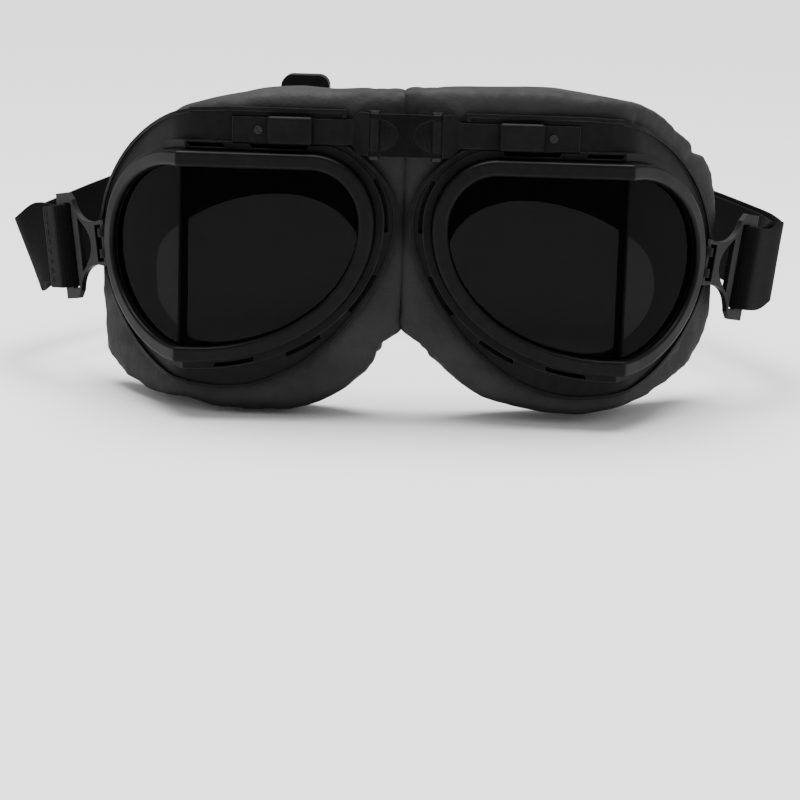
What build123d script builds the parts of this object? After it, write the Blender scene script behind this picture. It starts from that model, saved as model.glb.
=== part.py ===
from build123d import *
from math import cos, radians, sin, tan
import os

# Aviator flying goggles, in millimetres.
# Origin on the centre plane where the cushion meets the bridge of the nose.
# +X to the right seen from the front, +Y back towards the wearer's head, +Z up.
# Each piece is drawn for the +X eye and mirrored for the other one.

# Glass and bezel of one eye
crease_x = 62.0             # centre plane to the upright crease between the two panes
pane_y = -20.0              # front face of the front pane
side_angle = 51.0           # turn of the side pane away from the front pane
bezel_height = 59.5
bezel_nose_x = 8.0          # centre plane to the bezel's nose edge
bezel_nose_z = 10.5         # height of that nose-most point over the middle of the bezel
bezel_corner = 18.0         # run of the upper nose corner
bezel_sweep = 50.0          # run of the long lower nose curve
bezel_side = 39.0           # crease to the outer end, along the side pane
bezel_band = 4.4            # width of the rim round the glass
bezel_proud = 2.2           # rim in front of the glass
bezel_edge = 0.9            # rounding of the rim
glass_thickness = 2.0
glass_lap = 1.5             # glass hidden behind the rim
glass_gap = 0.1
gasket_thickness = 0.8
strip_width = 0.7           # upright seal between the panes
strip_lap = 0.5             # cheek of that seal behind each pane
strip_cheek = 0.6

# Eyecup
seat_inset = 3.4            # opening of the eyecup, inside the bezel's outline
seat_depth = 2.7
ledge_gap = 0.4
ledge_width = 2.2
ledge_rise = 0.8
vent_width = 1.2
vent_near = 1.5             # middle of the upper and lower slots, outside the bezel
vent_far = 3.3              # middle of the slots beside the nose
flange_thickness = 1.2
flange_bend = 16.0          # bend of the flange at the crease
flange_nose_x = 1.5
flange_nose_z = 11.0
flange_top_rise = 12.25     # flange's top edge over the bezel's
flange_step_x = 16.5        # inboard end of the flange's top edge
flange_step_rise = 2.75
flange_low_drop = 8.25      # flange's low edge under the bezel's
flange_low_x = 50.0
flange_crease_rise = 11.55
flange_crease_drop = 7.45
flange_side = 48.5          # crease to the outer end of the flange
bead_width = 1.1
bead_rise = 0.8
tube_wall = 1.0             # short wall behind the flange that the cushion surrounds
tube_depth = 7.0

# Bridge between the eyes
hinge_x = 8.5
hinge_y = -22.7
bridge_rise = 6.1           # bridge's middle over the bezel's top
pin_radius = 0.8
pin_clearance = 0.05
knuckle_radius = 1.5
knuckle_height = 8.7
knuckle_gap = 0.15
link_height = 11.8
link_thickness = 1.2
link_waist = 4.5
link_arm = 1.4
pin_head_radius = 1.5
pin_head = 0.75
bracket_sheet = 1.0
bracket_height = 7.0
bracket_end_x = 48.0
flare_start_x = 15.7
flare_end_x = 12.2
keeper_inner_x = 25.7
keeper_width = 12.6
keeper_height = 7.9
keeper_depth = 3.1
keeper_round = 0.9
keeper_clearance = 0.1
screw_x = 40.7
screw_radius = 0.75
screw_head_radius = 1.15
screw_head = 0.6
screw_slot = 0.4
screw_clearance = 0.05

# Bail that carries the strap at each temple
bail_along = 43.1           # crease to the bail's pivot, along the side pane
bail_set = 0.9              # pivot behind the plane of the glass
bail_z = -2.5
bail_angle = 41.0           # plate's turn away from the front pane
bail_lean = 10.5            # top of the bail leans outwards
bail_sheet = 1.8
bail_pivot = 1.0            # radius of the pivot bar
bail_inner = 6.8            # half width at the pivot
bail_waist = 5.9
bail_waist_at = 4.6
bail_slot = 3.3
bail_slot_half = 5.5
window_near = 5.8
window_far = 11.0
window_half = 8.2
strap_slot_near = 13.4
strap_slot_far = 16.3
bail_end = 19.9
ear_near = 14.6
ear_overhang = 3.5          # ear past the strap's edge
bail_corner = 0.6
hook_wall = 0.9
hook_clearance = 0.1
hook_height = 2.6
hook_spacing = 6.2

# Strap
strap_width = 25.0
strap_ply = 1.4
ply_gap = 0.3
bar_clearance = 0.2
tab_length = 14.0
strap_turn = 14.5           # strap's way out of the bail, turned from the plate
fold_gap = 0.6              # between the sewn end of the tab and the run behind it
fold_x = 121.5
fold_y = 54.0
fold_radius = 22.0
back_x = 70.0
back_y = 138.0
back_radius = 22.0
strap_low_z = -8.5          # middle of the strap at the fold
strap_back_z = 20.0         # middle of the strap behind the head
slider_x = -38.5
slider_width = 17.0
slider_overhang = 7.0       # slider past the strap's edge
slider_rail = 3.2
slider_rail_depth = 2.3
slider_bar = 3.0
slider_bar_depth = 1.9
slider_corner = 4.0
tail_length = 22.0

# Cushion
pad_gap = 0.3
pad_bend = 22.0
pad_top_rise = 17.25        # cushion's top edge over the bezel's
pad_top_flat = 40.0
pad_crease_rise = 13.75
pad_crease_drop = 12.25
pad_low_drop = 14.05        # cushion's low edge under the bezel's
pad_low_x = 50.0
pad_nose_low_x = 11.0
pad_nose_drop = 1.25
pad_notch_z = -22.0
pad_side = 57.5
pad_side_corner = 20.0
pad_eye_round = 4.5         # crown round the eye opening
pad_eye_far = 83.0          # outer end of the eye opening at the eyecup
face_eye_x = 43.0           # middle of the eye opening on the face
face_eye_z = -8.0
face_eye_half = 33.0        # half width of that opening
face_eye_rise = 22.5
face_eye_tilt = -15.0       # its outer corner hangs
face_radius = 135.0         # curve of the wearer's face in plan
nose_half = 4.5             # half width of the flexible nose section
nose_clearance = 0.3

# Cuts run past their pieces by this
over = 25.0
reach = 80.0

bezel_top = bezel_height / 2
bridge_z = bezel_top + bridge_rise
flange_top = bezel_top + flange_top_rise
flange_step_z = bezel_top + flange_step_rise
flange_low = -bezel_top - flange_low_drop
flange_crease_top = bezel_top + flange_crease_rise
flange_crease_low = -bezel_top - flange_crease_drop
pad_top = bezel_top + pad_top_rise
pad_crease_top = bezel_top + pad_crease_rise
pad_crease_low = -bezel_top - pad_crease_drop
pad_low = -bezel_top - pad_low_drop
pad_nose_low_z = -bezel_top - pad_nose_drop
ear_half = strap_width / 2 + ear_overhang
slider_height = strap_width + 2 * slider_overhang

half_turn = side_angle / 2
front_plane = Plane(origin=(0, pane_y, 0), x_dir=(1, 0, 0), z_dir=(0, -1, 0))
along = Vector(cos(radians(side_angle)), sin(radians(side_angle)), 0)
side_out = Vector(sin(radians(side_angle)), -cos(radians(side_angle)), 0)
crease = Vector(crease_x, pane_y, 0)
side_plane = Plane(origin=crease, x_dir=along, z_dir=side_out)
crease_cut = Plane(origin=crease, z_dir=(cos(radians(half_turn)), sin(radians(half_turn)), 0))
bezel_back = glass_thickness + gasket_thickness
flange_back = bezel_back + flange_thickness
pad_front = flange_back + pad_gap
fit_clearance = pin_radius + pin_clearance


def bezel_front(inset):
    """Bezel's outline on the front pane, drawn past the crease."""
    half = bezel_height / 2
    corner = (bezel_nose_x + bezel_corner, bezel_nose_z)
    sweep_centre = (bezel_nose_x + bezel_sweep, bezel_nose_z)
    with BuildSketch() as face:
        with BuildLine():
            top = Line((crease_x + over, half - inset), (corner[0], half - inset))
            nose = EllipticalCenterArc(
                corner, bezel_corner - inset, half - bezel_nose_z - inset, start_angle=90, arc_size=90
            )
            low = EllipticalCenterArc(
                sweep_centre, bezel_sweep - inset, half + bezel_nose_z - inset, start_angle=180, arc_size=90
            )
            base = Line(low @ 1, (crease_x + over, inset - half))
            Line(base @ 1, top @ 0)
        make_face()
    return face.sketch


def bezel_side_outline(inset):
    """Bezel's outline on the side pane, drawn past the crease."""
    half = bezel_height / 2 - inset
    with BuildSketch() as face:
        with BuildLine():
            top = Line((-over, half), (0, half))
            end = EllipticalCenterArc((0, 0), bezel_side - inset, half, start_angle=90, arc_size=-180)
            base = Line(end @ 1, (-over, -half))
            Line(base @ 1, top @ 0)
        make_face()
    return face.sketch


nose_low_share = 0.30       # first handle of the flange's lower curve, of its fall
nose_run_share = 0.58       # second handle, of its run


def flange_front(inset):
    """Flange's outline on the front pane, with the step behind the bridge bracket."""
    top, low = flange_top - inset, flange_low + inset
    nose_x, step_x = flange_nose_x + inset, flange_step_x + inset
    crease_top, crease_low = flange_crease_top - inset, flange_crease_low + inset
    fall = flange_nose_z - low
    rise = flange_step_z - flange_nose_z
    run = flange_low_x - nose_x
    with BuildSketch() as face:
        with BuildLine():
            Polyline(
                (crease_x + over, crease_low),
                (crease_x + over, crease_top),
                (crease_x, crease_top),
                (flange_low_x, top),
                (step_x, top),
                (step_x, flange_step_z),
            )
            Bezier(
                (step_x, flange_step_z),
                ((step_x + nose_x) / 2, flange_step_z - rise / 4),
                (nose_x, flange_nose_z + rise / 2),
                (nose_x, flange_nose_z),
            )
            Bezier(
                (nose_x, flange_nose_z),
                (nose_x, flange_nose_z - fall * nose_low_share),
                (flange_low_x - run * nose_run_share, low),
                (flange_low_x, low),
            )
            Polyline((flange_low_x, low), (crease_x, crease_low), (crease_x + over, crease_low))
        make_face()
    return face.sketch


flange_top_shares = ((0.42, 0.92), (1.0, 0.53))
flange_low_shares = ((1.0, 0.45), (0.56, 0.98))


def flange_side_outline(inset):
    """Flange's outline on the side pane."""
    end, top, low = flange_side - inset, flange_crease_top - inset, flange_crease_low + inset
    with BuildSketch() as face:
        with BuildLine():
            Line((-over, top), (0, top))
            Bezier((0, top), *[(end * u, top * v) for u, v in flange_top_shares], (end, 0))
            Bezier((end, 0), *[(end * u, low * v) for u, v in flange_low_shares], (0, low))
            Polyline((0, low), (-over, low), (-over, top))
        make_face()
    return face.sketch


pad_low_shares = ((0.68, 1.015), (0.4, 0.873))


def pad_front_outline(inset):
    """Cushion's outline on the front, from the nose section outwards."""
    with BuildSketch() as face:
        with BuildLine():
            Polyline(
                (crease_x + over, pad_crease_low),
                (crease_x + over, pad_crease_top),
                (crease_x, pad_crease_top),
                (pad_top_flat, pad_top),
                (nose_half, pad_top),
                (nose_half, pad_notch_z - nose_half / 2),
                (pad_nose_low_x, pad_nose_low_z),
            )
            Bezier(
                (pad_nose_low_x, pad_nose_low_z),
                (pad_low_x * pad_low_shares[1][0], pad_low * pad_low_shares[1][1]),
                (pad_low_x * pad_low_shares[0][0], pad_low * pad_low_shares[0][1]),
                (pad_low_x, pad_low),
            )
            Polyline((pad_low_x, pad_low), (crease_x, pad_crease_low), (crease_x + over, pad_crease_low))
        make_face()
    return face.sketch


pad_top_shares = ((0.45, 0.96), (0.97, 0.6))
pad_corner_shares = ((1.1, 0.77), (0.84, 0.955))


def pad_side_outline(inset):
    """Cushion's outline over the temple."""
    with BuildSketch() as face:
        with BuildLine():
            Polyline((-over, pad_top), (pad_top_flat - crease_x, pad_top), (0, pad_crease_top))
            Bezier(
                (0, pad_crease_top),
                *[(pad_side * u, pad_crease_top * v) for u, v in pad_top_shares],
                (pad_side, 0),
            )
            Bezier(
                (pad_side, 0),
                *[(pad_side * u, pad_crease_low * v) for u, v in pad_corner_shares],
                (pad_side_corner, pad_crease_low),
            )
            Polyline(
                (pad_side_corner, pad_crease_low),
                (0, pad_crease_low),
                (pad_low_x - crease_x, pad_low),
                (-over, pad_low),
                (-over, pad_top),
            )
        make_face()
    return face.sketch


bezel_outline = (bezel_front, bezel_side_outline)
flange_outline = (flange_front, flange_side_outline)
pad_outline = (pad_front_outline, pad_side_outline)


def pane_block(plane, outline, inset, front, back, keep):
    """Block under one pane's outline, between two depths behind the glass, cut at the crease."""
    with BuildPart() as block:
        with BuildSketch(plane.offset(-front)):
            add(outline(inset))
        extrude(amount=front - back)
        split(bisect_by=crease_cut, keep=keep)
    return block.part


def wrapped(outlines, inset, front, back):
    """Both panes' blocks of an outline, joined at the crease."""
    with BuildPart() as both:
        add(pane_block(front_plane, outlines[0], inset, front, back, Keep.BOTTOM))
        add(pane_block(side_plane, outlines[1], inset, front, back, Keep.TOP))
    return both.part


def frame_ring(outer, outer_inset, inner, inner_inset, front, back):
    """Frame between two outlines."""
    with BuildPart() as ring:
        add(wrapped(outer, outer_inset, front, back))
        add(wrapped(inner, inner_inset, front - over, back + over), mode=Mode.SUBTRACT)
    return ring.part


def shifted(points, step):
    """Path moved to its left by a step, with mitred corners."""
    places = [Vector(*point) for point in points]
    ways = [(b - a).normalized() for a, b in zip(places, places[1:])]
    lefts = [Vector(-way.Y, way.X) for way in ways]
    moved = [places[0] + lefts[0] * step]
    for place, before, after in zip(places[1:-1], lefts, lefts[1:]):
        moved.append(place + (before + after) * (step / (1 + before.dot(after))))
    return moved + [places[-1] + lefts[-1] * step]


def path_band(points, radii, near, far):
    """Face between a rounded path shifted left by near and by far."""
    inner, outer = shifted(points, near), shifted(points, far)
    with BuildSketch() as face:
        with BuildLine():
            first = FilletPolyline(*inner, radius=[radius - near for radius in radii])
            second = FilletPolyline(*outer, radius=[radius - far for radius in radii])
            Line(first @ 0, second @ 0)
            Line(first @ 1, second @ 1)
        make_face()
    return face.sketch


shell_path = ((0, pane_y), (crease_x, pane_y), tuple(crease + along * reach)[:2])


def shell_slab(front, back, bend):
    """Upright sheet that follows the panes with a round bend at the crease."""
    with BuildPart() as slab:
        with BuildSketch(Plane.XY.offset(-reach)):
            add(path_band(shell_path, [bend + back], front, back))
        extrude(amount=2 * reach)
    return slab.part


def front_edges(builder, ahead):
    """Edges that lie wholly in the front faces, so many millimetres ahead of the glass."""
    touch = glass_gap / 2
    front = [
        edge for edge in builder.edges()
        if all(abs(pane_y - ahead - (edge @ share).Y) < touch for share in (0, 0.5, 1))
    ]
    side = [
        edge for edge in builder.edges()
        if all(abs((edge @ share - crease).dot(side_out) - ahead) < touch for share in (0, 0.5, 1))
    ]
    return front + side


# Bezel: the rim that holds the glass, with a rebate for the panes behind
with BuildPart() as bezel:
    add(frame_ring(bezel_outline, 0, bezel_outline, bezel_band, -bezel_proud, bezel_back))
    fillet(front_edges(bezel, bezel_proud), bezel_edge)
    add(wrapped(bezel_outline, bezel_band - glass_lap, 0, over), mode=Mode.SUBTRACT)

# Two flat panes, mitred towards the crease, and the seal between them
glass_inset = bezel_band - glass_lap + glass_gap


def glass_pane(plane, outline, keep, face):
    """One flat pane, stopped short of the seal at the crease."""
    stop = crease_cut.offset(face * (strip_width / 2 + glass_gap))
    with BuildPart() as pane:
        with BuildSketch(plane):
            add(outline(glass_inset))
        extrude(amount=-glass_thickness)
        split(bisect_by=stop, keep=keep)
    return pane.part


with BuildPart() as lens_front:
    add(glass_pane(front_plane, bezel_front, Keep.BOTTOM, -1))
with BuildPart() as lens_side:
    add(glass_pane(side_plane, bezel_side_outline, Keep.TOP, 1))


def strip_side(face, keep):
    """Space that a pane takes on one side of the seal's web."""
    with BuildPart() as cheek:
        add(wrapped(bezel_outline, 0, -over, glass_thickness + glass_gap))
        split(bisect_by=crease_cut.offset(face * strip_width / 2), keep=keep)
    return cheek.part


with BuildPart() as lens_strip:
    add(wrapped(bezel_outline, bezel_band + glass_gap, 0, glass_thickness + strip_cheek))
    split(bisect_by=crease_cut.offset(strip_width / 2 + strip_lap), keep=Keep.BOTTOM)
    split(bisect_by=crease_cut.offset(-strip_width / 2 - strip_lap), keep=Keep.TOP)
    add(strip_side(1, Keep.TOP), mode=Mode.SUBTRACT)
    add(strip_side(-1, Keep.BOTTOM), mode=Mode.SUBTRACT)

with BuildPart() as lens_gasket:
    add(frame_ring(
        bezel_outline, glass_inset, bezel_outline, bezel_band + glass_gap, glass_thickness, bezel_back
    ))


# Eyecup: vented seat under the bezel, bent flange with a rolled bead, short wall behind
pivot = crease + along * bail_along - side_out * bail_set + Vector(0, 0, bail_z)
lean = radians(bail_lean)
plate_way = Vector(cos(radians(bail_angle)), sin(radians(bail_angle)), 0)
plate_out = Vector(sin(radians(bail_angle)), -cos(radians(bail_angle)), 0)
bail_plane = Plane(
    origin=pivot, x_dir=plate_way * cos(lean) - Vector(0, 0, sin(lean)), z_dir=plate_out
)
pivot_plane = Plane(origin=pivot, x_dir=bail_plane.x_dir, z_dir=bail_plane.y_dir)
hook_bore = bail_pivot + hook_clearance
hook_outer = hook_bore + hook_wall
whole_turn = 360.0


def hook(height_place):
    """One curled hook of the eyecup round the bail's pivot bar, with its foot in the flange."""
    base = pivot_plane.offset(height_place - hook_height / 2)
    foot_turn = side_angle - bail_angle
    with BuildPart() as curl:
        with BuildSketch(base):
            Circle(hook_outer)
            with Locations(Rotation(0, 0, foot_turn)):
                with Locations((0, hook_outer / 2)):
                    Rectangle(2 * hook_outer, hook_outer + flange_thickness)
        extrude(amount=hook_height)
        with BuildSketch(base.offset(-over)):
            Circle(hook_bore)
        extrude(amount=2 * over, mode=Mode.SUBTRACT)
    return curl.part


vent_turn_shares = ((0.142, 0.178), (0.211, 0.289), (0.783, 0.831))
nose_vent_turn_shares = ((0.387, 0.458), (0.523, 0.599), (0.667, 0.733))


def vent(away, start, end):
    """Slot at a distance outside the bezel, between two rays from the middle of the front pane."""
    ends = (start * whole_turn, end * whole_turn)
    middle = ((bezel_nose_x + crease_x) / 2, 0)
    with BuildPart() as slot:
        with BuildSketch(front_plane.offset(over)):
            with BuildLine():
                Polyline(
                    middle,
                    *[(middle[0] + reach * cos(radians(a)), reach * sin(radians(a))) for a in ends],
                    close=True,
                )
            make_face()
        extrude(amount=-2 * over)
        add(frame_ring(
            bezel_outline, -away - vent_width / 2, bezel_outline, vent_width / 2 - away, -over, over
        ), mode=Mode.INTERSECT)
    return slot.part


def rolled_bead():
    """Rolled edge along the flange's outline."""
    with BuildPart() as bead:
        add(frame_ring(flange_outline, 0, flange_outline, bead_width, 0, over))
        add(shell_slab(bezel_back - bead_rise, flange_back, flange_bend), mode=Mode.INTERSECT)
    return bead.part


def screw_core(radius, front, back):
    """Round core at the bracket's screw, between two depths behind the glass."""
    with BuildPart() as core:
        with BuildSketch(front_plane.offset(-front)):
            with Locations((screw_x, bridge_z)):
                Circle(radius)
        extrude(amount=front - back)
    return core.part


with BuildPart() as eyecup:
    add(wrapped(flange_outline, 0, 0, over))
    add(shell_slab(bezel_back, flange_back, flange_bend), mode=Mode.INTERSECT)
    add(wrapped(bezel_outline, -ledge_gap - ledge_width, bezel_back, bezel_back + seat_depth))
    add(frame_ring(
        bezel_outline, -ledge_gap - ledge_width, bezel_outline, -ledge_gap,
        bezel_back - ledge_rise, bezel_back + flange_thickness,
    ))
    add(frame_ring(
        bezel_outline, seat_inset - tube_wall, bezel_outline, seat_inset, bezel_back, bezel_back + tube_depth
    ))
    add(wrapped(bezel_outline, seat_inset, -over, over), mode=Mode.SUBTRACT)
    add(rolled_bead())
    with BuildSketch(front_plane.offset(-bezel_back)):
        with Locations((bracket_end_x / 2, bridge_z)):
            Rectangle(bracket_end_x + 2 * keeper_clearance, keeper_height + 2 * keeper_clearance)
    extrude(amount=over, mode=Mode.SUBTRACT)
    for place in (-hook_spacing / 2, hook_spacing / 2):
        add(hook(place))
    for start, end in vent_turn_shares:
        add(vent(vent_near, start, end), mode=Mode.SUBTRACT)
    for start, end in nose_vent_turn_shares:
        add(vent(vent_far, start, end), mode=Mode.SUBTRACT)
    add(screw_core(screw_radius + screw_clearance, -over, over), mode=Mode.SUBTRACT)

# Bridge: a pierced link on two hinge pins, and a bracket on each eyecup
bracket_y = pane_y + bezel_back - bracket_sheet / 2
bracket_path = (
    (bracket_end_x, bracket_y),
    (flare_start_x - bracket_sheet, bracket_y),
    (hinge_x + knuckle_radius / 2, hinge_y + knuckle_radius / 2),
)
knuckle_edge = hinge_x + knuckle_radius + knuckle_gap
bridge_level = Plane.XY.offset(bridge_z)


def pin_core(radius, low, high):
    """Round core on the hinge's axis between two heights from the bridge's middle."""
    with BuildPart() as core:
        with BuildSketch(bridge_level.offset(low)):
            with Locations((hinge_x, hinge_y)):
                Circle(radius)
        extrude(amount=high - low)
    return core.part


def bracket_half(sign):
    """Upper or lower half of the bracket's front view: straight arm, flare, middle knuckle."""
    arm, flare = sign * bracket_height / 2, sign * link_height / 2
    flare_middle = (flare_start_x + flare_end_x) / 2
    with BuildSketch() as half:
        with BuildLine():
            Polyline((0, 0), (bracket_end_x, 0), (bracket_end_x, arm), (flare_start_x, arm))
            Bezier((flare_start_x, arm), (flare_middle, arm), (flare_middle, flare), (flare_end_x, flare))
            Polyline(
                (flare_end_x, flare),
                (knuckle_edge, flare),
                (knuckle_edge, sign * knuckle_height / 2),
                (0, sign * knuckle_height / 2),
                (0, 0),
            )
        make_face()
    return half.sketch


with BuildPart() as bridge_bracket:
    with BuildSketch(bridge_level.offset(-link_height / 2)):
        add(path_band(bracket_path, [2 * bracket_sheet], -bracket_sheet / 2, bracket_sheet / 2))
        with Locations((hinge_x, hinge_y)):
            Circle(knuckle_radius)
    extrude(amount=link_height)
    with BuildSketch(Plane.XZ.offset(-over)):
        with Locations((0, bridge_z)):
            add(bracket_half(1))
            add(bracket_half(-1))
    extrude(amount=2 * over, mode=Mode.INTERSECT)
    add(pin_core(fit_clearance, -link_height, link_height), mode=Mode.SUBTRACT)
    add(screw_core(screw_radius + screw_clearance, -over, over), mode=Mode.SUBTRACT)

knuckle_low = knuckle_height / 2 + knuckle_gap
with BuildPart() as link_half:
    with BuildSketch(Plane.XZ.offset(-hinge_y - link_thickness / 2)):
        with Locations((hinge_x / 2, bridge_z)):
            Rectangle(hinge_x, link_height)
        with Locations((hinge_x, bridge_z)):
            Ellipse(hinge_x - link_waist / 2, link_height / 2 - link_arm, mode=Mode.SUBTRACT)
            Rectangle(2 * (knuckle_radius + knuckle_gap), 2 * knuckle_low, mode=Mode.SUBTRACT)
    extrude(amount=link_thickness)
    add(pin_core(knuckle_radius, knuckle_low, link_height / 2))
    add(pin_core(knuckle_radius, -link_height / 2, -knuckle_low))
    add(pin_core(fit_clearance, -link_height, link_height), mode=Mode.SUBTRACT)
with BuildPart() as bridge_link:
    add(link_half.part)
    mirror(link_half.part, about=Plane.YZ)

with BuildPart() as hinge_pin:
    add(pin_core(pin_radius, -link_height / 2, link_height / 2))
    add(pin_core(pin_head_radius, link_height / 2, link_height / 2 + pin_head))
    add(pin_core(pin_head_radius, -link_height / 2 - pin_head, -link_height / 2))

keeper_seat = pane_y + bezel_back
with BuildPart() as bracket_keeper:
    with BuildSketch(Plane.XZ.offset(-keeper_seat)):
        with Locations((keeper_inner_x + keeper_width / 2, bridge_z)):
            RectangleRounded(keeper_width, keeper_height, keeper_round)
    extrude(amount=keeper_depth)
    fillet(bracket_keeper.faces().sort_by(Axis.Y)[0].edges(), keeper_round)
    with BuildSketch(Plane.XZ.offset(-keeper_seat)):
        with Locations((keeper_inner_x + keeper_width / 2, bridge_z)):
            Rectangle(2 * keeper_width, bracket_height + 2 * keeper_clearance)
    extrude(amount=bracket_sheet + keeper_clearance, mode=Mode.SUBTRACT)

head_seat = bezel_back - bracket_sheet
with BuildPart() as bracket_screw:
    add(screw_core(screw_radius, head_seat, flange_back))
    add(screw_core(screw_head_radius, head_seat - screw_head, head_seat))
    with BuildSketch(front_plane.offset(screw_head - head_seat)):
        with Locations((screw_x, bridge_z)):
            Rectangle(2 * screw_head_radius, screw_slot, rotation=side_angle)
    extrude(amount=-screw_head / 2, mode=Mode.SUBTRACT)

# Bail: stamped plate with hook slot, window and strap slot, turning on its pivot bar
bar_at = (strap_slot_far + bail_end) / 2


def bail_half(sign):
    """Upper or lower half of the bail's outline: waisted neck, spread shoulder and ear."""
    slot_edge = strap_width / 2 + bail_corner
    with BuildSketch() as half:
        with BuildLine():
            Polyline((-bail_pivot, 0), (-bail_pivot, sign * bail_inner), (bail_pivot, sign * bail_inner))
            Bezier(
                (bail_pivot, sign * bail_inner),
                (bail_waist_at, sign * bail_waist),
                (window_far, sign * bail_waist),
                (strap_slot_near - bail_corner, sign * (slot_edge + bail_corner)),
            )
            Polyline(
                (strap_slot_near - bail_corner, sign * (slot_edge + bail_corner)),
                (ear_near, sign * ear_half),
                (bail_end, sign * ear_half),
                (bail_end, 0),
                (-bail_pivot, 0),
            )
        make_face()
    return half.sketch


window_curve_shares = ((0.3, 0.61), (0.0, 0.34))


def window_curve(sign):
    """Handles of the window's curved inner edge, above or below its middle."""
    run = window_far - window_near
    return [(window_near + run * u, sign * window_half * v) for u, v in window_curve_shares]


with BuildPart() as bail:
    with BuildSketch(bail_plane.offset(-bail_sheet / 2)):
        add(bail_half(1))
        add(bail_half(-1))
        with Locations(((bail_slot - bail_pivot) / 2 - hook_clearance, 0)):
            Rectangle(bail_slot + bail_pivot + 2 * hook_clearance, 2 * bail_slot_half, mode=Mode.SUBTRACT)
        with BuildLine():
            Line((window_far, -window_half), (window_far, window_half))
            for sign in (1, -1):
                Bezier((window_far, sign * window_half), *window_curve(sign), (window_near, 0))
        make_face(mode=Mode.SUBTRACT)
        with Locations(((strap_slot_near + strap_slot_far) / 2, 0)):
            Rectangle(strap_slot_far - strap_slot_near, strap_width + bail_corner, mode=Mode.SUBTRACT)
    extrude(amount=bail_sheet)
    with BuildSketch(pivot_plane.offset(-bail_inner)):
        Circle(bail_pivot)
    extrude(amount=2 * bail_inner)

# Strap tabs: the webbing's loop round the bail's outer bar
bar_place = pivot + bail_plane.x_dir * bar_at
tab_plane = Plane(
    origin=bar_place - bail_plane.y_dir * (strap_width / 2), x_dir=bail_plane.x_dir, z_dir=bail_plane.y_dir
)
bar_reach = (((bail_end - strap_slot_far) / 2) ** 2 + (bail_sheet / 2) ** 2) ** 0.5
loop_inner = bar_reach + bar_clearance
loop_outer = loop_inner + strap_ply


def teardrop(radius, length, end):
    """Round eye drawn out to an end of a given thickness."""
    way = (cos(radians(strap_turn)), sin(radians(strap_turn)))
    square = (-way[1], way[0])
    rise = (radius - end / 2) / length
    touch = (radius * rise, radius * (1 - rise * rise) ** 0.5)
    corners = [touch, (length, end / 2), (length, -end / 2), (touch[0], -touch[1])]
    with BuildSketch() as drop:
        Circle(radius)
        with BuildLine():
            Polyline(*[(a * way[0] + b * square[0], a * way[1] + b * square[1]) for a, b in corners], close=True)
        make_face()
    return drop.sketch


def strap_tab(thickness):
    """Loop of webbing round the bar, its plies sewn together at the end."""
    with BuildPart() as tab:
        with BuildSketch(tab_plane):
            add(teardrop(loop_outer, tab_length, thickness))
            add(teardrop(loop_inner, tab_length * 0.6, strap_ply / 4), mode=Mode.SUBTRACT)
        extrude(amount=strap_width)
    return tab.part


two_ply = 2 * strap_ply
three_ply = 3 * strap_ply + 2 * ply_gap
tab_single = strap_tab(two_ply)
tab_double = strap_tab(three_ply)

# Strap: webbing on edge round the back of the head, climbing behind the ears
strap_way = Vector(cos(radians(bail_angle + strap_turn)), sin(radians(bail_angle + strap_turn)), 0)
strap_start = bar_place + strap_way * (tab_length + fold_gap)
run_out = Vector(strap_width, 0)
tab_way = tab_plane.x_dir * cos(radians(strap_turn)) + tab_plane.y_dir * sin(radians(strap_turn))
climb_shares = ((0.52, 0.2), (0.82, 0.72), (0.962, 1.0))


def strap_middle(shift):
    """Points of the strap's climbing middle line, seen from the side, moved up by a shift."""
    run, climb = back_y - fold_y, strap_back_z - strap_low_z
    return [
        (strap_start.Y, strap_start.Z + shift),
        (fold_y, strap_low_z + shift),
        *[(fold_y + run * u, strap_low_z + climb * v + shift) for u, v in climb_shares],
    ]


def strap_run(end_x, near, far):
    """One ply from the tab to a place behind the head, between two shifts towards the head."""
    first = strap_start - strap_way * tab_length
    path = (tuple(first)[:2], (fold_x, fold_y), (back_x, back_y), (end_x, back_y))
    with BuildPart() as run:
        with BuildSketch(Plane.XY.offset(-reach)):
            add(path_band(path, [fold_radius, back_radius], near, far))
        extrude(amount=2 * reach)
        with BuildSketch(Plane.YZ.offset(-2 * reach)):
            with BuildLine():
                top = Spline(*strap_middle(strap_width / 2), tangents=((1, 0), (1, 0)))
                low = Spline(*strap_middle(-strap_width / 2), tangents=((1, 0), (1, 0)))
                Polyline(top @ 0, top @ 0 - run_out, low @ 0 - run_out, low @ 0)
                Polyline(top @ 1, top @ 1 + run_out, low @ 1 + run_out, low @ 1)
            make_face()
        extrude(amount=4 * reach, mode=Mode.INTERSECT)
        with BuildSketch(Plane(origin=strap_start, x_dir=bail_plane.x_dir, z_dir=tab_way)):
            Rectangle(4 * strap_width, 4 * strap_width)
        extrude(amount=-tab_length - strap_width, mode=Mode.SUBTRACT)
    return run.part


half_ply = strap_ply / 2
strap_outer = strap_run(slider_x, -half_ply - ply_gap - strap_ply, -half_ply - ply_gap)
strap_inner = strap_run(slider_x, half_ply + ply_gap, half_ply + ply_gap + strap_ply)
strap_left_run = strap_run(-slider_x - tail_length, -half_ply, half_ply)

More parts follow.
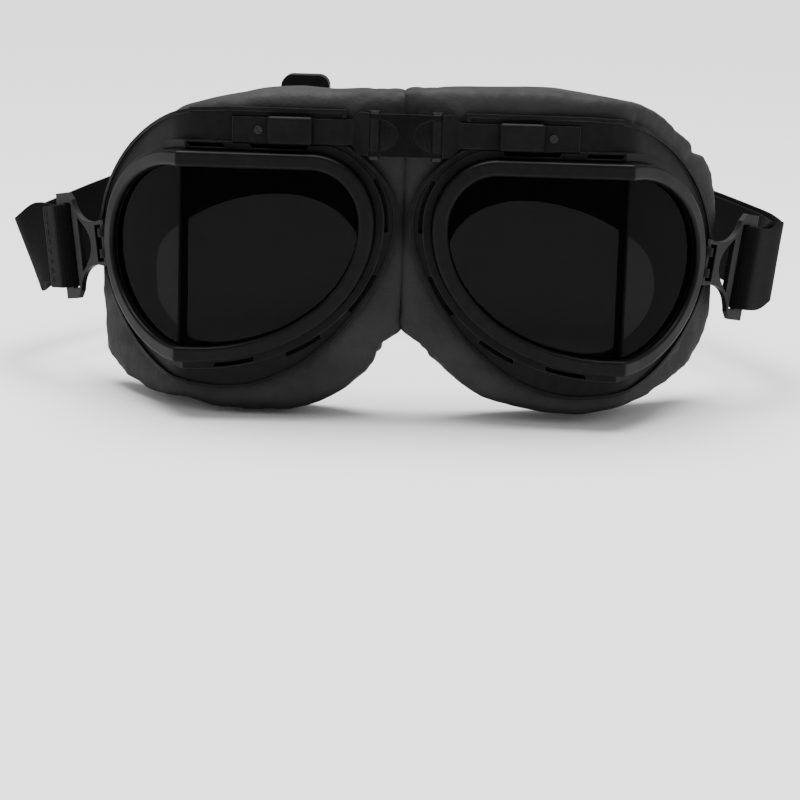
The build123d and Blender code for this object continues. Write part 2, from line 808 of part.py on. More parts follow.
# Slider: rails outside the webbing, centre bar inside it
stack = half_ply + ply_gap + strap_ply + ply_gap
slot_half = strap_width / 2 + ply_gap
with BuildPart() as strap_slider:
    with BuildSketch(Plane.XZ.offset(-back_y + stack + slider_bar_depth)):
        with Locations((slider_x, strap_back_z)):
            RectangleRounded(slider_width, slider_height, slider_corner)
    extrude(amount=-(2 * stack + slider_bar_depth + slider_rail_depth))
    fillet(strap_slider.faces().sort_by(Axis.Y)[-1].edges(), slider_rail_depth / 2)
    with BuildSketch(Plane.XZ.offset(-back_y + stack)):
        with Locations((slider_x, strap_back_z)):
            Rectangle(2 * slider_width, 2 * slot_half)
    extrude(amount=-2 * stack, mode=Mode.SUBTRACT)
    with BuildSketch(Plane.XZ.offset(-back_y)):
        with Locations((slider_x, strap_back_z)):
            Rectangle(slider_width - 2 * slider_rail, 2 * slot_half)
    extrude(amount=-2 * stack, mode=Mode.SUBTRACT)
    with BuildSketch(Plane.XZ.offset(-back_y)):
        for side in (-1, 1):
            with Locations((slider_x + side * (slider_bar + slider_width) / 2, strap_back_z)):
                Rectangle(slider_width, 2 * slot_half)
    extrude(amount=2 * stack, mode=Mode.SUBTRACT)

# Cushion: one soft half per eye, and the flexible section over the nose
pad_path = ((0, pane_y), (crease_x, pane_y), tuple(crease + along * (reach + over))[:2])
nose_tip_rise = 2.5         # arch of the nose section over the bridge of the nose
nose_top_fall = 0.2


pad_end = crease + along * pad_side - side_out * pad_front
pad_end_wall = face_radius - (face_radius ** 2 - pad_end.X ** 2) ** 0.5 - pad_end.Y
pad_end_rim = pad_end.X - face_eye_x - face_eye_half
crown_share = 0.225         # crown of the outer edge on the face, of the mean of these two walls


def behind_panes(front):
    """Everything behind a bent sheet at a depth behind the glass."""
    with BuildPart() as space:
        with BuildSketch(Plane.XY.offset(-reach)):
            with BuildLine():
                edge = FilletPolyline(*shifted(pad_path, front), radius=pad_bend)
                Polyline(edge @ 1, ((edge @ 1).X, face_radius), ((edge @ 0).X, face_radius), edge @ 0)
            make_face()
        extrude(amount=2 * reach)
    return space.part


with BuildPart() as face_block:
    with BuildSketch(Plane.XY.offset(-reach)):
        with Locations((0, face_radius)):
            Circle(face_radius)
    extrude(amount=2 * reach)
tube_end = pane_y + bezel_back + tube_depth + pad_gap


def eye_opening(depth):
    """Eye opening of the cushion at the end of the eyecup's short wall."""
    with BuildSketch(Plane.XZ.offset(-depth)) as opening:
        with Locations(((bezel_nose_x + pad_eye_far) / 2 + tube_wall, 0)):
            Ellipse((pad_eye_far - bezel_nose_x) / 2 - seat_inset, bezel_height / 2 - seat_inset)
    return opening.sketch


def face_opening(depth):
    """Eye opening on the face: lower than the glass, with its outer corner hanging."""
    with BuildSketch(Plane.XZ.offset(-depth)) as opening:
        with Locations((face_eye_x, face_eye_z)):
            Ellipse(face_eye_half, face_eye_rise, rotation=face_eye_tilt)
    return opening.sketch


with BuildPart() as eye_space:
    extrude(eye_opening(tube_end), amount=reach)
    loft([eye_opening(tube_end), face_opening(0)])
    extrude(face_opening(0), amount=-reach)


def on_face(edge):
    """Whether an edge of the cushion lies on the curve of the face."""
    spots = [edge @ share for share in (0, 0.25, 0.5, 0.75, 1)]
    return all(abs((p.X ** 2 + (p.Y - face_radius) ** 2) ** 0.5 - face_radius) < pad_gap / 2 for p in spots)


def away_from_nose(edge):
    """Whether an edge is clear of the nose section."""
    return (edge @ 0.5).X > nose_half + pad_gap


with BuildPart() as face_pad:
    add(behind_panes(pad_front))
    add(wrapped(pad_outline, 0, -over, reach), mode=Mode.INTERSECT)
    add(face_block.part, mode=Mode.SUBTRACT)
    add(eye_space.part, mode=Mode.SUBTRACT)
    add(
        wrapped(bezel_outline, -ledge_gap - ledge_width - pad_gap, -over, bezel_back + seat_depth + pad_gap),
        mode=Mode.SUBTRACT,
    )
    add(
        wrapped(bezel_outline, seat_inset - tube_wall - pad_gap, -over, bezel_back + tube_depth + pad_gap),
        mode=Mode.SUBTRACT,
    )
    outer_edges = face_pad.edges().filter_by(on_face).sort_by(SortBy.LENGTH)[:-1]
    fillet(outer_edges.filter_by(away_from_nose), (pad_end_wall * pad_end_rim) ** 0.5 * crown_share)
    fillet(face_pad.edges().filter_by(on_face).sort_by(SortBy.LENGTH)[-1], pad_eye_round)

nose_width = nose_half - nose_clearance
with BuildPart() as nose_pad:
    with BuildSketch(Plane.XZ.offset(-pane_y - pad_front - pad_gap)):
        with BuildLine():
            Polyline(
                (-nose_width, pad_notch_z - nose_tip_rise),
                (-nose_width, pad_top - nose_top_fall),
                (nose_width, pad_top - nose_top_fall),
                (nose_width, pad_notch_z - nose_tip_rise),
            )
            ThreePointArc(
                (nose_width, pad_notch_z - nose_tip_rise),
                (0, pad_notch_z + nose_tip_rise / 5),
                (-nose_width, pad_notch_z - nose_tip_rise),
            )
        make_face()
    extrude(amount=-reach)
    add(face_block.part, mode=Mode.SUBTRACT)

# Every piece under its own name; left means the -X side
os.makedirs("parts", exist_ok=True)
one_of_each = {
    "bridge_link": bridge_link.part,
    "nose_pad": nose_pad.part,
    "strap_slider": strap_slider.part,
    "strap_tab_right": tab_double,
    "strap_tab_left": tab_single.mirror(Plane.YZ),
    "strap_outer_right": strap_outer,
    "strap_inner_right": strap_inner,
    "strap_left": strap_left_run.mirror(Plane.YZ),
}
one_per_eye = {
    "bezel": bezel.part,
    "lens_front": lens_front.part,
    "lens_side": lens_side.part,
    "lens_strip": lens_strip.part,
    "lens_gasket": lens_gasket.part,
    "eyecup": eyecup.part,
    "face_pad": face_pad.part,
    "bridge_bracket": bridge_bracket.part,
    "bracket_keeper": bracket_keeper.part,
    "bracket_screw": bracket_screw.part,
    "hinge_pin": hinge_pin.part,
    "bail": bail.part,
}
for name, piece in one_per_eye.items():
    one_of_each[name + "_right"] = piece
    one_of_each[name + "_left"] = piece.mirror(Plane.YZ)
for name, piece in one_of_each.items():
    piece.label = name
    export_step(piece, "parts/" + name + ".step")
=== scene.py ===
import math
import bpy
import numpy as np
from mathutils import Matrix, Vector, noise


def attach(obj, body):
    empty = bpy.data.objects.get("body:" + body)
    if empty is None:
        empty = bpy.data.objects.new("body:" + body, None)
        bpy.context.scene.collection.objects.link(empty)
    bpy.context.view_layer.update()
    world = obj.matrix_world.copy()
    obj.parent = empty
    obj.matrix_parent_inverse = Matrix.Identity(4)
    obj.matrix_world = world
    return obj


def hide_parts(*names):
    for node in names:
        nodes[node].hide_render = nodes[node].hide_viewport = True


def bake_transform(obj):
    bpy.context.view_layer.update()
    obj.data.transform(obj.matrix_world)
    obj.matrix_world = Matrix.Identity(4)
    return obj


# Aviator flying goggles on a pale floor.
# Everything is in metres in the part's frame: +X right, +Y towards the head, +Z up.
# Numbers that stand before * MM are millimetres.

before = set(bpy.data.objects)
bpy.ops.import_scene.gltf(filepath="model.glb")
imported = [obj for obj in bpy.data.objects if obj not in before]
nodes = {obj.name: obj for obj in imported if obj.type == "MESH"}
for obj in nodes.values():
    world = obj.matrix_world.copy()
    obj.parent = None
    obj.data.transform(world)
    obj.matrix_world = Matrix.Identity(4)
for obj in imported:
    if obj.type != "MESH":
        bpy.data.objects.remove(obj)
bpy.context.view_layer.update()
MM = 0.001
MERGE_DISTANCE = 0.02 * MM


def clear_selection():
    """Nothing selected, object mode."""
    if bpy.context.object and bpy.context.object.mode != "OBJECT":
        bpy.ops.object.mode_set(mode="OBJECT")
    bpy.ops.object.select_all(action="DESELECT")


def pick(*pieces):
    """Select these pieces alone, the first one active."""
    clear_selection()
    for piece in pieces:
        piece.select_set(True)
    bpy.context.view_layer.objects.active = pieces[0]


def copy_of(name, *sources):
    """One new mesh object from CAD nodes, with their loose triangles merged."""
    copies = []
    for source in sources:
        twin = bpy.data.objects.new(name, nodes[source].data.copy())
        bpy.context.scene.collection.objects.link(twin)
        copies.append(twin)
    pick(*copies)
    if len(copies) > 1:
        bpy.ops.object.join()
    whole = bpy.context.object
    bpy.ops.object.mode_set(mode="EDIT")
    bpy.ops.mesh.select_all(action="SELECT")
    bpy.ops.mesh.remove_doubles(threshold=MERGE_DISTANCE)
    bpy.ops.object.mode_set(mode="OBJECT")
    return whole


def apply_modifier(piece, kind, **settings):
    """Add a modifier, set it and apply it at once."""
    pick(piece)
    modifier = piece.modifiers.new(kind.title(), kind)
    for key, value in settings.items():
        setattr(modifier, key, value)
    bpy.ops.object.modifier_apply(modifier=modifier.name)


def smooth(piece, degrees):
    """Smooth shading, with edges sharper than an angle kept."""
    pick(piece)
    bpy.ops.object.shade_smooth_by_angle(angle=math.radians(degrees))


def turn_outwards(piece):
    """Faces that all point out of the piece."""
    pick(piece)
    bpy.ops.object.mode_set(mode="EDIT")
    bpy.ops.mesh.select_all(action="SELECT")
    bpy.ops.mesh.normals_make_consistent(inside=False)
    bpy.ops.object.mode_set(mode="OBJECT")


# Finishes

def new_finish(name, colour, roughness, specular=0.5):
    """A node material with its shader set, and its nodes and links to add to."""
    finish = bpy.data.materials.new(name)
    finish.use_nodes = True
    tree = finish.node_tree
    shader = tree.nodes["Principled BSDF"]
    shader.inputs["Base Color"].default_value = (*colour, 1)
    shader.inputs["Roughness"].default_value = roughness
    shader.inputs["Specular IOR Level"].default_value = specular
    return finish, tree, shader


def object_space(tree):
    """The piece's own coordinates."""
    return tree.nodes.new("ShaderNodeTexCoord").outputs["Object"]


def grain(tree, vector, scale, detail=4.0):
    """A noise texture's factor."""
    texture = tree.nodes.new("ShaderNodeTexNoise")
    texture.inputs["Scale"].default_value = scale
    texture.inputs["Detail"].default_value = detail
    tree.links.new(vector, texture.inputs["Vector"])
    return texture.outputs["Fac"]


def cells(tree, vector, scale):
    """A cell texture's distance."""
    texture = tree.nodes.new("ShaderNodeTexVoronoi")
    texture.inputs["Scale"].default_value = scale
    tree.links.new(vector, texture.inputs["Vector"])
    return texture.outputs["Distance"]


def spread(tree, value, low, high, from_low=0.3, from_high=0.7):
    """A value spread over a new range."""
    ramp = tree.nodes.new("ShaderNodeMapRange")
    ramp.inputs["From Min"].default_value = from_low
    ramp.inputs["From Max"].default_value = from_high
    ramp.inputs["To Min"].default_value = low
    ramp.inputs["To Max"].default_value = high
    tree.links.new(value, ramp.inputs["Value"])
    return ramp.outputs["Result"]


def tint(tree, value, dark, light):
    """Two colours mixed by a value. Either is three numbers or another node's output."""
    mix = tree.nodes.new("ShaderNodeMix")
    mix.data_type = "RGBA"
    for side, colour in (("A", dark), ("B", light)):
        if isinstance(colour, tuple):
            mix.inputs[side].default_value = (*colour, 1)
        else:
            tree.links.new(colour, mix.inputs[side])
    tree.links.new(value, mix.inputs["Factor"])
    return mix.outputs["Result"]


def relief(tree, shader, height, distance, strength=1.0, before=None):
    """Bump from a height, after an earlier bump."""
    bump = tree.nodes.new("ShaderNodeBump")
    bump.inputs["Distance"].default_value = distance
    bump.inputs["Strength"].default_value = strength
    tree.links.new(height, bump.inputs["Height"])
    if before is not None:
        tree.links.new(before, bump.inputs["Normal"])
    tree.links.new(bump.outputs["Normal"], shader.inputs["Normal"])
    return bump.outputs["Normal"]


SHADE_SAMPLES = 6


def edge_wear_and_highlight(tree, radius, sharp):
    """The normal rounded over the edges, and how near a surface point is to an edge: the mask for rubbed
    wear and a painted highlight.
    """
    rounded = tree.nodes.new("ShaderNodeBevel")
    rounded.samples = SHADE_SAMPLES
    rounded.inputs["Radius"].default_value = radius
    shape = tree.nodes.new("ShaderNodeNewGeometry")
    match = tree.nodes.new("ShaderNodeVectorMath")
    match.operation = "DOT_PRODUCT"
    tree.links.new(rounded.outputs["Normal"], match.inputs[0])
    tree.links.new(shape.outputs["Normal"], match.inputs[1])
    return rounded.outputs["Normal"], spread(tree, match.outputs["Value"], 1, 0, 1 - sharp, 1.0)


def painted_recess_shade(tree, body, depth, darkest):
    """A colour painted darker where the surface lies deep between its neighbours: painted shade in
    recesses.
    """
    shade = tree.nodes.new("ShaderNodeAmbientOcclusion")
    shade.samples = SHADE_SAMPLES
    shade.inputs["Distance"].default_value = depth
    return tint(tree, spread(tree, shade.outputs["AO"], 0, 1, 0.25, 0.85), darkest, body)


# Grain of the lacquer, in cycles a metre
SHEEN_CLOUDS = 90.0
WEAR_AND_HIGHLIGHT_PATCHES = 260.0
COLOUR_FLECKS = 420.0
ORANGE_PEEL = 1400.0
# Painted shade in the lacquer's recesses: how far it reaches, in metres, and its darkest colour
PAINTED_SHADE_REACH = 4 * MM
PAINTED_SHADE_BLACK = (0.0008, 0.0008, 0.0008)
EDGE_SHARPNESS = 0.16


def satin_black(name, colour, worn_and_highlight, dull, gloss, edge=0.35):
    """Satin black lacquer on pressed metal: orange peel, uneven sheen, edges rubbed lighter with a
    painted highlight on them, and painted shade in its recesses.
    """
    finish, tree, shader = new_finish(name, colour, sum(dull) / 2, specular=gloss)
    place = object_space(tree)
    tree.links.new(spread(tree, grain(tree, place, SHEEN_CLOUDS), *dull), shader.inputs["Roughness"])
    # The edge share masks both rubbed wear and a painted highlight along the edges
    rounded, edge_share = edge_wear_and_highlight(tree, edge * MM, EDGE_SHARPNESS)
    patchy = tree.nodes.new("ShaderNodeMath")
    patchy.operation = "MULTIPLY"
    tree.links.new(edge_share, patchy.inputs[0])
    tree.links.new(spread(tree, grain(tree, place, WEAR_AND_HIGHLIGHT_PATCHES, 3.0), 0.35, 1.0), patchy.inputs[1])
    lighter = tuple(min(1, c * 1.5 + 0.001) for c in colour)
    fleck = grain(tree, place, COLOUR_FLECKS, 2.0)
    flecked = tint(tree, spread(tree, fleck, 0, 1), colour, lighter)
    # Painted shade: the lacquer darkened in its recesses and grooves
    body = painted_recess_shade(tree, flecked, PAINTED_SHADE_REACH, PAINTED_SHADE_BLACK)
    # Edges lighter in colour: partly rubbed wear, partly a painted highlight
    tree.links.new(tint(tree, patchy.outputs[0], body, worn_and_highlight), shader.inputs["Base Color"])
    relief(tree, shader, grain(tree, place, ORANGE_PEEL, 2.0), 0.03 * MM, 0.35, rounded)
    return finish


lacquer = satin_black(
    "satin_black_lacquer", (0.0026, 0.0026, 0.0028), (0.035, 0.035, 0.036), (0.42, 0.55), 0.08, 0.4
)
# The bezel's lighter edge colour is partly rubbed wear, partly a painted highlight along its beads
bezel_lacquer = satin_black(
    "bezel_lacquer", (0.0014, 0.0014, 0.0015), (0.07, 0.07, 0.072), (0.34, 0.46), 0.09, 0.5
)
# The link's lacquer is darker than the rest: painted shade on the link between its knuckles
link_lacquer = satin_black(
    "link_lacquer", (0.001, 0.001, 0.0011), (0.03, 0.03, 0.031), (0.36, 0.48), 0.06
)
bail_lacquer = satin_black(
    "bail_lacquer", (0.006, 0.006, 0.0062), (0.028, 0.028, 0.029), (0.4, 0.5), 0.16
)
pin_steel = satin_black(
    "blackened_steel", (0.003, 0.003, 0.0032), (0.05, 0.05, 0.052), (0.28, 0.4), 0.22, 0.2
)

rubber, rubber_tree, rubber_shader = new_finish(
    "black_rubber", (0.0015, 0.0015, 0.0015), 0.8, specular=0.04
)
rubber_grain = grain(rubber_tree, object_space(rubber_tree), 1800.0)
relief(rubber_tree, rubber_shader, rubber_grain, 0.03 * MM, 0.5)

smoke, smoke_tree, smoke_shader = new_finish("smoke_glass", (0.0052, 0.0052, 0.0054), 0.01)
smoke_shader.inputs["Transmission Weight"].default_value = 1.0
smoke_shader.inputs["IOR"].default_value = 1.06
smear = grain(smoke_tree, object_space(smoke_tree), 35.0, 3.0)
smoke_tree.links.new(spread(smoke_tree, smear, 0.0, 0.012), smoke_shader.inputs["Roughness"])

leather, leather_tree, leather_shader = new_finish(
    "black_leather", (0.012, 0.012, 0.0125), 0.7, specular=0.16
)
leather_place = object_space(leather_tree)
pebble = cells(leather_tree, leather_place, 950.0)
crease_noise = grain(leather_tree, leather_place, 210.0, 5.0)
wear_cloud = spread(leather_tree, grain(leather_tree, leather_place, 55.0, 3.0), 0, 1)
hide = tint(leather_tree, wear_cloud, (0.015, 0.015, 0.0155), (0.025, 0.025, 0.026))
# Painted shade: the leather darkened in its recesses, between the eyecups and round the flanges
leather_tree.links.new(
    painted_recess_shade(leather_tree, hide, 12 * MM, (0.0022, 0.0022, 0.0023)), leather_shader.inputs["Base Color"]
)
leather_tree.links.new(
    spread(leather_tree, crease_noise, 0.62, 0.8), leather_shader.inputs["Roughness"]
)
leather_fold = relief(leather_tree, leather_shader, crease_noise, 0.25 * MM, 0.5)
relief(leather_tree, leather_shader, pebble, 0.12 * MM, 0.7, leather_fold)

webbing, webbing_tree, webbing_shader = new_finish(
    "black_webbing", (0.004, 0.004, 0.004), 0.85, specular=0.06
)
webbing_shader.inputs["Sheen Weight"].default_value = 0.01
webbing_shader.inputs["Sheen Roughness"].default_value = 0.5


def thread_wave(vector, direction, scale, distortion=0.0):
    """Rows of threads along one direction of the webbing."""
    wave = webbing_tree.nodes.new("ShaderNodeTexWave")
    wave.bands_direction = direction
    wave.inputs["Scale"].default_value = scale
    wave.inputs["Distortion"].default_value = distortion
    webbing_tree.links.new(vector, wave.inputs["Vector"])
    return wave.outputs["Fac"]


webbing_place = webbing_tree.nodes.new("ShaderNodeUVMap").outputs["UV"]
warp = thread_wave(webbing_place, "Y", 11.0)
weft = thread_wave(webbing_place, "X", 330.0, 0.3)
cloth_mix = webbing_tree.nodes.new("ShaderNodeMath")
cloth_mix.operation = "MULTIPLY_ADD"
cloth_mix.inputs[1].default_value = 0.8
webbing_tree.links.new(warp, cloth_mix.inputs[0])
webbing_tree.links.new(weft, cloth_mix.inputs[2])
weave = spread(webbing_tree, cloth_mix.outputs[0], 0, 1, 0.2, 1.4)
weave_colour = tint(webbing_tree, weave, (0.0013, 0.0013, 0.0013), (0.0025, 0.0025, 0.0026))
webbing_tree.links.new(weave_colour, webbing_shader.inputs["Base Color"])
relief(webbing_tree, webbing_shader, cloth_mix.outputs[0], 0.07 * MM, 0.6)

thread_finish, thread_tree, thread_shader = new_finish(
    "sewing_thread", (0.012, 0.012, 0.012), 0.6, specular=0.2
)
thread_grain = grain(thread_tree, object_space(thread_tree), 2600.0)
relief(thread_tree, thread_shader, thread_grain, 0.04 * MM, 0.6)


def paint(piece, finish):
    """One finish all over a piece."""
    piece.data.materials.clear()
    piece.data.materials.append(finish)


# Hard pieces carried over from the CAD model
finish_of = {
    "bezel": bezel_lacquer,
    "eyecup": lacquer,
    "bridge_bracket": lacquer,
    "bracket_keeper": lacquer,
    "bracket_screw": pin_steel,
    "hinge_pin": pin_steel,
    "bridge_link": link_lacquer,
    "bail": bail_lacquer,
    "strap_slider": lacquer,
    "lens_front": smoke,
    "lens_side": smoke,
    "lens_strip": rubber,
    "lens_gasket": rubber,
}
for name, node in nodes.items():
    plain = name.replace("_right", "").replace("_left", "")
    if plain in finish_of:
        for slot in node.material_slots:
            slot.material = finish_of[plain]
        if not node.material_slots:
            node.data.materials.append(finish_of[plain])

# Cushion: each half is remeshed from its solid, filled by a pressed cloth, then gathered
CUSHION_VOXEL = 1.6 * MM
CLOTH_FRAMES = 14
PRESSURE = 3.2
SWELL = 1.8 * MM
EASE_ROUNDS = 14
SEAM_LAP = 1.1 * MM
NOTCH_CORNER = Vector((6.5, -7, -25)) * MM
NOTCH_PUCKERS = (11, 13 * MM, 0.75 * MM)
TOP_CORNER = Vector((7, -8, 46)) * MM
TOP_PUCKERS = (9, 9 * MM, 0.4 * MM)
FULLNESS = 0.4 * MM
UNEVENNESS = 0.3 * MM
SIDE_TURN = math.radians(51)
CREASE = Vector((62, -20)) * MM
EYE_X = 46 * MM

# The eyecup's grip on the cushion, in mm: the flange's ellipse along the panes, its depth behind the
# glass, and the short wall round the eye
FLANGE_CENTRE = (55, 2)
FLANGE_REACH = (54, 39)
FLANGE_DEPTH = 7.2
WALL_INNER_X, WALL_OUTER_X, WALL_HEIGHT, WALL_DEPTH = 9, 84, 31, 13.5

# How far each half stands out of its solid, in mm, by degrees round the eye from the temple upwards
STUFFING = {
    1: (
        (-180, 0), (-150, -1.0), (-140, -1.3), (-130, -0.2), (-120, 0.3), (-110, -0.4), (-90, -0.8),
        (-70, -0.2), (-60, -0.8), (-50, -1.8), (-25, -1.8), (0, -2.2), (10, -0.5), (20, 1.5), (32, 2.8),
        (50, 1.6), (60, 3.2), (70, 3.6), (80, 2.3), (90, 1.4), (105, 1.5), (120, 1.4), (135, 0.7),
        (150, 0), (180, 0),
    ),
    -1: (
        (-180, 0), (-160, -0.9), (-150, -0.7), (-140, 1.7), (-130, 3.1), (-120, 3.4), (-110, 3.0),
        (-100, 1.6), (-90, 0.8), (-80, 0.7), (-70, 0.4), (-60, 2.1), (-50, 2.3), (-40, 1.2), (-30, -2.8),
        (-20, -3.6), (0, -3.2), (15, -2.4), (25, -2.2), (35, -4.4), (45, -4.6), (55, -3.0), (70, -1.0),
        (80, -1.4), (90, -1.7), (100, -0.9), (110, -0.3), (120, -0.9), (135, 0), (150, 0), (180, 0),
    ),
}


def pane_place(point):
    """A cushion point in the panes' terms: how far along them and how deep behind the glass."""
    x, y = abs(point.x), point.y
    if x < CREASE.x:
        return x, y - CREASE.y
    run, depth = x - CREASE.x, y - CREASE.y
    along = run * math.cos(SIDE_TURN) + depth * math.sin(SIDE_TURN)
    return CREASE.x + along, depth * math.cos(SIDE_TURN) - run * math.sin(SIDE_TURN)


def fade(value, width):
    """0 below zero, 1 above a width, smooth between."""
    share = min(1.0, max(0.0, value / width))
    return share * share * (3 - 2 * share)


def held(point):
    """How firmly the eyecup holds a point of the cushion: 1 under the flange and round the short wall."""
    along, depth = pane_place(point)
    x, z = abs(point.x) / MM, point.z / MM
    ring = math.hypot(
        (along / MM - FLANGE_CENTRE[0]) / FLANGE_REACH[0], (z - FLANGE_CENTRE[1]) / FLANGE_REACH[1]
    )
    under_flange = fade(1.06 - ring, 0.1) * fade(FLANGE_DEPTH - depth / MM, 2.6)
    across = min(fade(x - WALL_INNER_X, 2), fade(WALL_OUTER_X - x, 3))
    round_wall = across * fade(WALL_HEIGHT - abs(z), 3) * fade(WALL_DEPTH - depth / MM, 3)
    return max(under_flange, round_wall)


def stuffed(point, side):
    """Uneven stuffing of one half, straight out from the middle of its eye."""
    out = Vector((abs(point.x) - EYE_X, 0, point.z))
    turn = math.degrees(math.atan2(out.z, out.x))
    angles = [angle for angle, _ in STUFFING[side]]
    amount = np.interp(turn, angles, [rise for _, rise in STUFFING[side]]) * MM
    away_from_opening = min(1, max(0, (out.length - 26 * MM) / (14 * MM)))
    out = out.normalized() * amount * away_from_opening
    return Vector((side * out.x, 0, out.z))


def gathers(point, centre, count, reach, depth):
    """A number of radial puckers round a corner of the cushion, fading over their reach."""
    away = point - centre
    angle = math.atan2(away.z, away.x)
    strength = math.exp(-(away.length / reach) ** 2)
    return depth * strength * math.sin(angle * count + 2.0 * noise.noise(point * 90))


def eased_field(piece, moved, rounds):
    """Moves of a mesh's points, averaged with their neighbours' moves."""
    ends = np.array([edge.vertices[:] for edge in piece.data.edges])
    count = np.zeros(len(moved))
    np.add.at(count, ends.ravel(), 1)
    for _ in range(rounds):
        total = np.zeros_like(moved)
        np.add.at(total, ends[:, 0], moved[ends[:, 1]])
        np.add.at(total, ends[:, 1], moved[ends[:, 0]])
        moved = (moved + total / np.maximum(count, 1)[:, None]) / 2
    return moved


def pressed_out(half):
    """The half's skin as a pinned cloth under air pressure, its moves eased and limited."""
    rest = np.array([v.co for v in half.data.vertices])
    cloth = half.modifiers.new("Cloth", "CLOTH")
    cloth.settings.use_pressure = True
    cloth.settings.uniform_pressure_force = PRESSURE
    cloth.settings.effector_weights.gravity = 0
    cloth.settings.vertex_group_mass = "held"
    cloth.settings.quality = 5
    cloth.point_cache.frame_start = 1
    cloth.point_cache.frame_end = CLOTH_FRAMES
    for step in range(1, CLOTH_FRAMES + 1):
        bpy.context.scene.frame_set(step)
    pick(half)
    bpy.ops.object.modifier_apply(modifier="Cloth")
    bpy.context.scene.frame_set(1)
    moved = np.array([v.co for v in half.data.vertices]) - rest
    moved = eased_field(half, moved, EASE_ROUNDS)
    length = np.linalg.norm(moved, axis=1)
    share = np.where(length > SWELL, SWELL / np.maximum(length, 1e-9), 1.0)
    for vertex, begun, step in zip(half.data.vertices, rest, moved * share[:, None]):
        vertex.co = Vector(begun + step)


def cushion_half(side):
    """One half of the cushion, from just past the centre seam outwards."""
    tail = "_right" if side > 0 else "_left"
    half = copy_of("cushion" + tail, "face_pad" + tail, "nose_pad")
    pick(half)
    bpy.ops.object.mode_set(mode="EDIT")
    bpy.ops.mesh.select_all(action="SELECT")
    bpy.ops.mesh.bisect(
        plane_co=(-side * SEAM_LAP, 0, 0), plane_no=(side, 0, 0), use_fill=True, clear_inner=True
    )
    bpy.ops.object.mode_set(mode="OBJECT")
    apply_modifier(half, "REMESH", mode="VOXEL", voxel_size=CUSHION_VOXEL)
    group = half.vertex_groups.new(name="held")
    for vertex in half.data.vertices:
        firm = 1.0 if side * vertex.co.x < SEAM_LAP or held(vertex.co) > 0.5 else 0.0
        group.add([vertex.index], firm, "REPLACE")
    apply_modifier(half, "SMOOTH", factor=0.5, iterations=10)
    pressed_out(half)
    apply_modifier(
        half, "SMOOTH", factor=0.5, iterations=12, vertex_group="held", invert_vertex_group=True
    )
    apply_modifier(half, "SUBSURF", levels=1, render_levels=1)
    notch = Vector((side * NOTCH_CORNER.x, NOTCH_CORNER.y, NOTCH_CORNER.z))
    top = Vector((side * TOP_CORNER.x, TOP_CORNER.y, TOP_CORNER.z))
    normals = [v.normal.copy() for v in half.data.vertices]
    for vertex, normal in zip(half.data.vertices, normals):
        spot = vertex.co.copy()
        free = 1.0 - held(spot)
        bulge = FULLNESS + gathers(spot, notch, *NOTCH_PUCKERS)
        bulge += gathers(spot, top, *TOP_PUCKERS)
        bulge += UNEVENNESS * noise.noise(spot * 45)
        vertex.co = spot + (normal * bulge + stuffed(spot, side)) * free
    apply_modifier(half, "SMOOTH", factor=0.5, iterations=9)
    smooth(half, 180)
    paint(half, leather)
    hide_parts("face_pad" + tail)
    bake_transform(half)
    return half


cushion_right = cushion_half(1)
cushion_half(-1)
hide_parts("nose_pad")

# Strap webbing: one long ribbon on each side, looped round its bail's bar
BAR = Vector((101.856, 25.737, -5.798)) * MM
BAIL_TURN, BAIL_LEAN = math.radians(41), math.radians(10.5)
BAIL_WAY = Vector((
    math.cos(BAIL_TURN) * math.cos(BAIL_LEAN),
    math.sin(BAIL_TURN) * math.cos(BAIL_LEAN),
    -math.sin(BAIL_LEAN),
))
BAIL_BACK = Vector((-math.sin(BAIL_TURN), math.cos(BAIL_TURN), 0))
BAR_AXIS = BAIL_WAY.cross(BAIL_BACK)
STRAP_TURN = math.radians(14.5)
STRAP_WAY = Vector((math.cos(BAIL_TURN + STRAP_TURN), math.sin(BAIL_TURN + STRAP_TURN), 0))
TAB_END = BAR + STRAP_WAY * 14.3 * MM
STRAP_WIDTH = 25 * MM
STRAP_ROWS = 13
PLY = 1.4 * MM
PLY_GAP = 1.7
LOOP_RADIUS = 2.9
LOOP_LENGTH = 13.0
LOOP_STEPS = 16

# The strap's way seen from above and its height by the distance behind the face, both in mm
ROUTE = ((121.5, 54.0), (70.0, 138.0))
ROUTE_RADIUS = 22.0
ROUTE_STEP = 1.5
CLIMB = ((37.5, -5.798), (54.0, -8.5), (97.7, -2.8), (122.9, 12.0), (134.8, 20.0), (145.0, 20.0))
SLIDER_X = -38.5
LEFT_END_X = 16.5

# How the photographed strap hangs: its lean and shift where it folds back, its droop at the corner behind
FOLD_Y = 54.6
FOLD_SPREAD_FRONT, FOLD_SPREAD_BEHIND = 14, 34
FOLD_LEAN = {1: math.radians(12.5), -1: math.radians(21.8)}
FOLD_SHIFT = {1: Vector((-4.6, 0, 0.6)) * MM, -1: Vector((1.8, 0, -5.6)) * MM}
CORNER_X, CORNER_SPREAD = 72, 22
CORNER_DROP = 2.2 * MM


def strap_height(y):
    """Height of the strap's middle line at a distance behind the face."""
    places = [p for p, _ in CLIMB]
    heights = [h for _, h in CLIMB]
    soft = [np.interp(y + step, places, heights) for step in np.linspace(-6, 6, 13)]
    return float(np.mean(soft))


